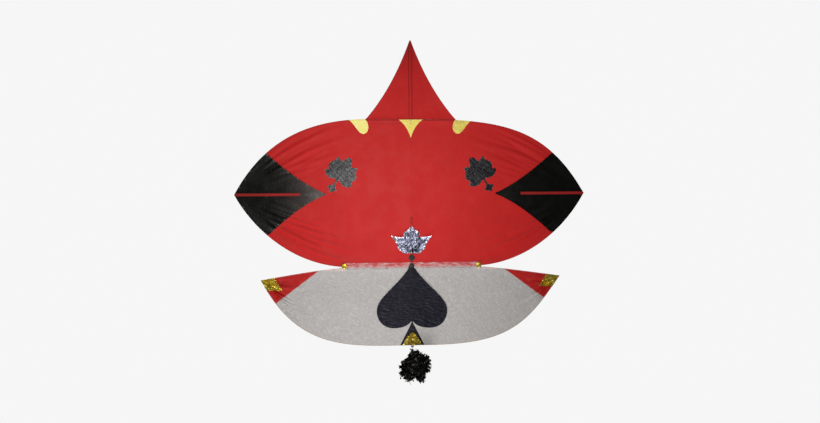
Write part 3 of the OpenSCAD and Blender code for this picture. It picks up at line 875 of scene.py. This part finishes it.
def make_patches():
    beside_rib = (RIB_Z - 3 * MM, RIB_Z + 3 * MM)
    for side, moon in (("left", moon_gold), ("right", rubbed_gold)):
        patch("tip_panel_" + side, COARSE, lie_main, 7, black_crinkle, black)
        patch("rib_strip_" + side, COARSE, lie_main, 9, strip_crinkle, strip_red,
              extra_z=beside_rib)
        patch("corner_panel_" + side, FINE, lie_low, 2, strip_crinkle, corner_red)
        patch("gold_tip_" + side, FINE, lie_low, 4, tip_crinkle, old_gold)
        patch("gold_moon_" + side, FINE, lie_main, 1, gold_crinkle, moon)
        patch("leaf_" + side, FINE, lie_main, 1, leaf_crinkle, leaf_black, corner=25)
    patch("gold_neck_triangle", FINE, lie_main, 1, gold_crinkle, gold)
    patch("silver_leaf", FINEST, lie_main, 2, silver_crinkle, silver, FOIL, 25)
    patch("silver_leaf_stem", FINEST, lie_main, 1, stem_crinkle, charcoal)
    patch("spade", FINE, lie_low, 2, spade_crinkle, navy)
    patch("spade_cap", FINEST, lie_main, 6, stem_crinkle, charcoal)
    patch("gold_tail_triangle", FINE, lie_low, 5, tail_crinkle, tail_gold)
    hem = smooth_loop(outline("lower_sail", SAIL_FRONT - LAYER), COARSE)
    paper("lower_sail_hem", [hem], COARSE, over(lie_main, 1, strip_crinkle), flap_pink)


# ---------- bamboo ----------

def skin(bm, rows, sides, place, closed=False, cap=True, run=None):
    """Skins a closed ring of points along a run: place(row, side) gives each point."""
    layer = bm.loops.layers.uv.verify()
    spans = rows if closed else rows - 1
    made = bmesh.ops.create_grid(bm, x_segments=spans, y_segments=sides, size=1)
    verts = made["verts"]
    spot = {}
    for v in verts:
        spot[v] = (round((v.co.x + 1) / 2 * spans), round((v.co.y + 1) / 2 * sides))
    for face in {f for v in verts for f in v.link_faces}:
        for corner in face.loops:
            i, j = spot[corner.vert]
            corner[layer].uv = (run[i] if run else i * 0.002, j / sides * 0.01)
    for v, (i, j) in spot.items():
        v.co = place(i % rows, j % sides)
    bmesh.ops.remove_doubles(bm, verts=verts, dist=1e-7)
    alive = [v for v in verts if v.is_valid]
    if cap and not closed:
        rim = {e for v in alive for e in v.link_edges if e.is_boundary}
        bmesh.ops.holes_fill(bm, edges=list(rim), sides=0)
    faces = list({f for v in alive for f in v.link_faces})
    bmesh.ops.recalc_face_normals(bm, faces=faces)
    return alive


def make_strip(node, upright, seed):
    """A split bamboo strip with softly rounded edges, swelling at each joint ring."""
    line = centre_line(node, upright, 6 * MM)
    low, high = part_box(node)
    front, deep = low.y, high.y - low.y
    draw = random.Random(seed)
    run = [0.0]
    for a, b in zip(line, line[1:]):
        run.append(run[-1] + math.hypot(b[0] - a[0], b[1] - a[1]))
    rings = []
    at = draw.uniform(0.05, 0.16)
    while at < run[-1]:
        rings.append(at)
        at += draw.uniform(0.19, 0.27)
    sides = 12
    bm = bmesh.new()
    mark = bm.verts.layers.float.new("joint_ring")

    def place(i, j):
        x, z, wide = line[i]
        a, b = line[max(i - 1, 0)], line[min(i + 1, len(line) - 1)]
        length = math.hypot(b[0] - a[0], b[1] - a[1]) or 1
        across = (-(b[1] - a[1]) / length, (b[0] - a[0]) / length)
        swell = sum(math.exp(-((run[i] - r) / (5 * MM)) ** 2) for r in rings)
        turn = math.tau * (j + 0.5) / sides
        c, s = math.cos(turn), math.sin(turn)
        u = math.copysign(abs(c) ** 0.55, c) * wide / 2 * (0.88 + 0.09 * swell)
        d = math.copysign(abs(s) ** 0.55, s)
        y = front + deep * (0.5 + 0.5 * d) * (1 + (0.05 * swell if d > 0 else 0))
        return Vector((x + across[0] * u, y, z + across[1] * u))

    verts = skin(bm, len(line), sides, place, run=run)
    for v in verts:
        near = min(range(len(line)),
                   key=lambda i: (line[i][0] - v.co.x) ** 2 + (line[i][1] - v.co.z) ** 2)
        v[mark] = max([math.exp(-((run[near] - r) / (4 * MM)) ** 2) for r in rings] + [0.0])
    finished(bm, node + "_bamboo", bamboo, nodes=[node], crisp=70)


def make_frame():
    strips = ("spine", "leading_spar", "trailing_spar", "lower_top_spar", "lower_bow",
              "head_strip_left", "head_strip_right", "tip_rib_left", "tip_rib_right")
    for k, node in enumerate(strips):
        make_strip(node, node.startswith(("spine", "head")), k + 1)


# ---------- thread ----------

def curve3(points, step, closed=False):
    """Smooth path through points in space; a closed one comes back to its start."""
    if not closed:
        return [Vector(p) for p in smooth(points, step)]
    n = len(points)
    padded = [points[i % n] for i in range(-2, n + 3)]
    whole = [Vector(p) for p in smooth(padded, step)]
    half = len(whole) * 0.5
    first, last = (min((i for i in range(len(whole)) if (i > half) == late),
                       key=lambda i: (whole[i] - Vector(points[0])).length) for late in (False, True))
    return whole[first:last]


def frames(path, closed=False):
    """Tangent, side and up at each point, turning as little as possible."""
    n = len(path)
    made = []
    side = None
    for i, p in enumerate(path):
        a = path[(i - 1) % n] if closed or i > 0 else path[0]
        b = path[(i + 1) % n] if closed or i < n - 1 else path[-1]
        along = (b - a).normalized()
        if side is None:
            side = along.orthogonal().normalized()
        side = (side - along * side.dot(along)).normalized()
        made.append((along, side, along.cross(side)))
    return made


def tube(bm, path, radius, sides=6, closed=False):
    turned_frames = frames(path, closed)
    run = [0.0]
    for a, b in zip(path, path[1:] + path[:1]):
        run.append(run[-1] + (b - a).length)

    def place(i, j):
        _, side, up = turned_frames[i]
        turn = math.tau * j / sides
        return path[i] + (side * math.cos(turn) + up * math.sin(turn)) * radius

    skin(bm, len(path), sides, place, closed, run=run)


def plied(bm, path, radius, pitch, closed=False):
    """Two strands twisted round each other along the path."""
    around = frames(path, closed)
    length = sum((b - a).length for a, b in zip(path, path[1:]))
    turns = max(1, round(length / pitch))
    for strand in range(2):
        laid = []
        for i, p in enumerate(path):
            turn = math.tau * turns * i / len(path) + strand * math.pi
            _, side, up = around[i]
            laid.append(p + (side * math.cos(turn) + up * math.sin(turn)) * radius * 0.48)
        tube(bm, laid, radius * 0.54, 6, closed)


def make_lashing(node, headings, seed):
    """Turns of waxed thread wound over a joint at those headings, with two short ends."""
    low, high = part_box(node)
    middle = (low + high) / 2
    reach = (high.x - low.x) / 2
    front, back = 0.45 * MM, high.y - 0.5 * MM
    draw = random.Random(seed)
    bm = bmesh.new()
    for heading in (math.radians(angle) for angle in headings):
        way = Vector((math.cos(heading), 0, math.sin(heading)))
        over_way = Vector((-math.sin(heading), 0, math.cos(heading)))
        for k in range(-3, 4):
            round_off = math.sqrt(max(0.2, 1 - (k * 0.85 * MM / reach) ** 2))
            a = reach * 0.86 * draw.uniform(0.90, 1.0) * round_off
            slide = over_way * (k * 0.80 * MM + draw.uniform(-0.1, 0.1) * MM)
            lean = over_way * draw.uniform(-0.5, 0.5) * MM
            deep = back - abs(k) * 0.10 * MM
            half_way, low_back = (front + deep) / 2, deep * 0.93
            corners = [(-0.9, front), (0, front), (0.9, front), (1, half_way), (0.8, low_back),
                       (0, deep), (-0.8, low_back), (-1, half_way)]
            base = Vector((middle.x, 0, middle.z)) + slide
            ring = [base + way * (a * share) + Vector((0, y, 0)) for share, y in corners]
            ring[5] += lean
            path = curve3(ring, 1.5 * MM, closed=True)
            tube(bm, path, 0.42 * MM, 6, closed=True)
    for k in (-1, 1):
        start = Vector((middle.x + k * 1.5 * MM, back, middle.z - k * 1.0 * MM))
        end = [start, start + Vector((k * 2.2 * MM, 0.1 * MM, -2.0 * MM)),
               start + Vector((k * 4.0 * MM, -0.2 * MM, -3.2 * MM)),
               start + Vector((k * 5.2 * MM, -0.5 * MM, -5.6 * MM))]
        tube(bm, curve3(end, 1 * MM), 0.36 * MM)
    finished(bm, node + "_thread", waxed_thread, nodes=[node], crisp=80)


def make_lashings():
    """Every joint's lashing, with the headings of its turns in degrees."""
    middles = (("neck", 42, 138), ("waist", 42, 138), ("bottom", 42, 138), ("head_tip", 4, -3))
    for k, (joint, *headings) in enumerate(middles):
        make_lashing(joint + "_lashing", headings, 21 + k)
    pairs = (("head_base", 60, 118), ("wing_tip", 70, 112), ("waist_side", 88, 50), ("lower_tip", 80, 100))
    for k, side in enumerate(("left", "right")):
        for n, (joint, *headings) in enumerate(pairs):
            make_lashing(f"{joint}_lashing_{side}", headings, 31 + 2 * n + k)


def coil(centre, wide, deep, turns, count, lift):
    """Points of a winding about an upright axis; lift gives the height at each share of it."""
    made = []
    for i in range(count):
        t = i / (count - 1)
        turn = math.tau * turns * t
        made.append(centre + Vector((wide(t) * math.cos(turn), deep(t) * math.sin(turn), lift(t))))
    return made


def make_knot(node, seed, eye, look):
    """Thread wound round the eye that a loop swings in, finished with two clipped ends."""
    draw = random.Random(seed)
    bm = bmesh.new()
    wound = []
    for i in range(66):
        t = i / 65
        turn = math.tau * 4.0 * t
        across = (-1.15 + 2.3 * t) * MM
        wound.append(eye + Vector((across, math.cos(turn) * 1.28 * MM, math.sin(turn) * 1.28 * MM)))
    tube(bm, wound, 0.40 * MM)
    band = []
    for i in range(20):
        turn = math.tau * i / 20
        across = 0.95 * MM * math.sin(turn + 0.5)
        band.append(eye + Vector((across, 1.42 * MM * math.cos(turn), 1.42 * MM * math.sin(turn))))
    tube(bm, band, 0.38 * MM, closed=True)
    for k in (-1, 1):
        start = eye + Vector((k * 0.9 * MM, 0.5 * MM, 1.3 * MM))
        reach = draw.uniform(2.4, 3.6) * MM
        end = [start, start + Vector((k * reach * 0.5, -0.1 * MM, reach * 0.6)),
               start + Vector((k * reach, -0.2 * MM, reach * 0.9))]
        tube(bm, curve3(end, 0.6 * MM), 0.33 * MM)
    finished(bm, node + "_thread", look, nodes=[node], crisp=80)


def make_loop(node, body, eye, wide, tall, look):
    """A closed loop of twisted thread hanging through its knot."""
    leg = tall - wide / 2
    points = [eye + Vector((x, 0, 0)) for x in (-wide * 0.30, 0, wide * 0.30)]
    points += [eye + Vector((wide * 0.47, 0, -0.5 * MM))]
    points += [eye + Vector((wide / 2, 0, -leg * f)) for f in (0.30, 0.65, 1.0)]
    points += [eye + Vector((wide / 2 * math.cos(a), 0, -leg - wide / 2 * math.sin(a)))
               for a in (math.radians(40), math.radians(90), math.radians(140))]
    points += [eye + Vector((-wide / 2, 0, -leg * f)) for f in (1.0, 0.65, 0.30)]
    points += [eye + Vector((-wide * 0.47, 0, -0.5 * MM))]
    bm = bmesh.new()
    plied(bm, curve3(points, 0.7 * MM, closed=True), 0.58 * MM, 3.2 * MM, closed=True)
    finished(bm, node + "_thread", look, body, [node], crisp=80)


def make_threads():
    tail = Vector((0, -2.2 * MM, TAIL_Z))
    loops = (   # name, body, eye, length, thread, seed
        ("bridle_{}_upper", "upper_loop", Vector((0, -1.8 * MM, -3 * MM)), 14 * MM, pale_thread, 41),
        ("bridle_{}_lower", "lower_loop", Vector((0, -1.6 * MM, -337 * MM)), 19 * MM, shade_dark_thread, 42),
        ("tail_{}", "tail_link", tail, 20 * MM, tail_thread, 43))
    for name, _, eye, _, look, seed in loops:
        make_knot(name.format("knot"), seed, eye, look)
    for name, body, eye, tall, look, _ in loops:
        make_loop(name.format("loop"), body, eye, 7 * MM, tall, look)
    bm = bmesh.new()
    winding = coil(tail, lambda t: 4.5 * MM, lambda t: 1.5 * MM, 5, 81, lambda t: (-12.4 - 3.8 * t) * MM)
    tube(bm, winding, 0.5 * MM)
    finished(bm, "tail_loop_winding", tail_thread, "tail_link", ["tail_loop"], crisp=80)
    low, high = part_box("pompom_hanger")
    y, top, foot, half = (low.y + high.y) / 2, high.z - 0.6 * MM, low.z - 2 * MM, 3 * MM
    bow_side = [(-1, foot), (-1, top - 2.4 * MM), (-0.85, top - 0.5 * MM), (-0.4, top)]
    bow_shape = bow_side + [(0, top)] + [(-share, z) for share, z in bow_side[::-1]]
    points = [Vector((0, y + share * half, z)) for share, z in bow_shape]
    bm = bmesh.new()
    plied(bm, curve3(points, 0.7 * MM), 0.58 * MM, 3.2 * MM)
    finished(bm, "pompom_hanger_thread", tail_thread, "pompom", ["pompom_hanger"], crisp=80)


def make_dots():
    """Foil beads pressed over the waist lashings, with an end of thread coming out from each."""
    for side, sign in (("left", -1), ("right", 1)):
        node = "gold_dot_" + side
        low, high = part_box(node)
        middle, half = (low + high) / 2, (high - low) / 2
        bm = bmesh.new()
        bmesh.ops.create_uvsphere(bm, u_segments=40, v_segments=24, radius=1.0)
        bmesh.ops.rotate(bm, verts=bm.verts, matrix=Matrix.Rotation(math.pi / 2, 3, "X"))
        for v in bm.verts:
            crush = 0.06 * (ridge(v.co.x * 0.01, v.co.z * 0.01, 6 * MM, 83 + sign) - 0.6)
            crush += 0.03 * noise.noise(v.co * 4.0)
            flat = v.co * (1.06 + crush)
            v.co = middle + flat * half
        bmesh.ops.recalc_face_normals(bm, faces=bm.faces)
        finished(bm, node + "_foil", old_gold, nodes=[node], crisp=80)
        bm = bmesh.new()
        beside = half.x * (-0.95 if sign < 0 else 0.35)
        start = Vector((middle.x + beside, low.y * 0.6, middle.z - half.z * 0.2))
        for lean in (-3.0, -1.2):
            path = [start, start + Vector((sign * lean * 0.4 * MM, -0.6 * MM, -5 * MM)),
                    start + Vector((sign * lean * MM, -0.4 * MM, -11 * MM)),
                    start + Vector((sign * lean * 0.7 * MM, -0.6 * MM, -16 * MM - lean * MM))]
            tube(bm, curve3(path, 1 * MM), 1.1 * MM)
        finished(bm, "waist_thread_end_" + side, frayed_thread, crisp=80)


# ---------- pompom ----------

def make_pompom():
    """A dense, lopsided ball of curled ribbon ends over a dark core."""
    low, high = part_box("pompom")
    middle = (low + high) / 2 + Vector((8 * MM, 0, 2 * MM))
    draw = random.Random(77)
    bm = bmesh.new()
    layer = bm.loops.layers.uv.verify()
    count, rows = 560, 9
    # how far out the ball reaches, in mm, at each heading in degrees from the right
    bulge = ((0, 59), (9, 60), (30, 65), (49, 62), (67, 59), (83, 62), (97, 66), (110, 56), (122, 43),
             (142, 44), (157, 54), (169, 49), (181, 66), (192, 54), (210, 66), (230, 62), (250, 66),
             (262, 42), (272, 44), (287, 60), (300, 70), (312, 54), (330, 50), (345, 58), (360, 59))
    for k in range(count):
        up = 1 - 2 * (k + 0.5) / count
        turn = k * math.pi * (3 - math.sqrt(5))
        level = math.sqrt(1 - up * up)
        out = Vector((math.cos(turn) * level, math.sin(turn) * level, up))
        out = (out + Vector([draw.uniform(-0.12, 0.12) for _ in range(3)])).normalized()
        side = out.cross(Vector([draw.uniform(-1, 1) for _ in range(3)])).normalized()
        lean = out.cross(side)
        heading = math.degrees(math.atan2(out.z, out.x)) % 360
        seen = next((a[1] + (b[1] - a[1]) * (heading - a[0]) / (b[0] - a[0])
                     for a, b in zip(bulge, bulge[1:]) if a[0] <= heading <= b[0]))
        outer = (46 + (seen - 46) * max(0.0, 1 - out.y * out.y) ** 0.5) * MM
        reach = outer * draw.uniform(0.90, 1.08)
        curl = draw.uniform(2.2, 5.2)
        bend = outer * draw.uniform(0.08, 0.22)
        wide = draw.uniform(5.5, 10.0) * MM
        twist = draw.uniform(-2.2, 2.2)
        made = bmesh.ops.create_grid(bm, x_segments=rows, y_segments=1, size=1)["verts"]
        spot = {v: ((v.co.x + 1) / 2, v.co.y) for v in made}
        for face in {f for v in made for f in v.link_faces}:
            for corner in face.loops:
                t, w = spot[corner.vert]
                corner[layer].uv = (t * 0.06 + k * 0.013, w * 0.003)
        for v, (t, w) in spot.items():
            r = outer * 0.30 + (reach - outer * 0.30) * math.sin(t * math.pi / 2 * 1.02)
            roll = curl * t * t
            inward = bend * 0.5 * (1 - math.cos(roll)) * t
            centre = out * (r - inward) + lean * bend * math.sin(roll) * t
            face_way = side * math.cos(twist * t) + lean * math.sin(twist * t)
            at = centre + face_way * (wide * (1 - 0.45 * t ** 4) / 2) * w
            if at.length > outer * 1.06:
                at *= outer * 1.06 / at.length
            v.co = middle + at
    bmesh.ops.solidify(bm, geom=bm.faces[:], thickness=0.14 * MM)
    finished(bm, "pompom_ribbons", ribbon, "pompom", ["pompom"], crisp=60)
    bm = bmesh.new()
    bmesh.ops.create_icosphere(bm, subdivisions=4, radius=35 * MM)
    for v in bm.verts:
        v.co *= 1 + 0.16 * noise.noise(v.co / (9 * MM)) + 0.08 * noise.noise(v.co / (4 * MM))
    bmesh.ops.translate(bm, verts=bm.verts, vec=middle)
    finished(bm, "pompom_core", ribbon, "pompom", ["pompom"], crisp=80)


def make_pompom_tie():
    """The ribbon wound round the pompom's neck."""
    low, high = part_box("pompom_tie")
    centre, radius, tall = (low + high) / 2, (high.x - low.x) / 2, high.z - low.z

    def girth(t):
        return radius * (0.86 - 0.18 * math.sin(t * math.pi * 0.9))

    bm = bmesh.new()
    axis = Vector((centre.x, centre.y, 0))
    winding = coil(axis, girth, girth, 6, 130, lambda t: low.z + 0.4 * MM + (tall - 0.8 * MM) * t)
    tube(bm, winding, 0.62 * MM)
    neck = [axis + Vector((0, 0, low.z - 2 * MM + (tall + 1.6 * MM) * i / 6)) for i in range(7)]
    tube(bm, neck, radius * 0.68, 16)
    finished(bm, "pompom_tie_ribbon", ribbon, "pompom", ["pompom_tie"], crisp=60)


make_patches()
make_frame()
make_lashings()
make_threads()
make_dots()
make_pompom()
make_pompom_tie()
make_sails()
floor_mesh = bmesh.new()
bmesh.ops.create_circle(floor_mesh, cap_ends=True, segments=96, radius=2.8)
bmesh.ops.translate(floor_mesh, verts=floor_mesh.verts, vec=(0, 0, -1.9))
floor_data = bpy.data.meshes.new("studio_floor")
floor_mesh.to_mesh(floor_data)
floor_data.materials.append(floor_paint)
floor = bpy.data.objects.new("studio_floor", floor_data)
bpy.context.scene.collection.objects.link(floor)
floor.visible_diffuse = False
floor.visible_glossy = False
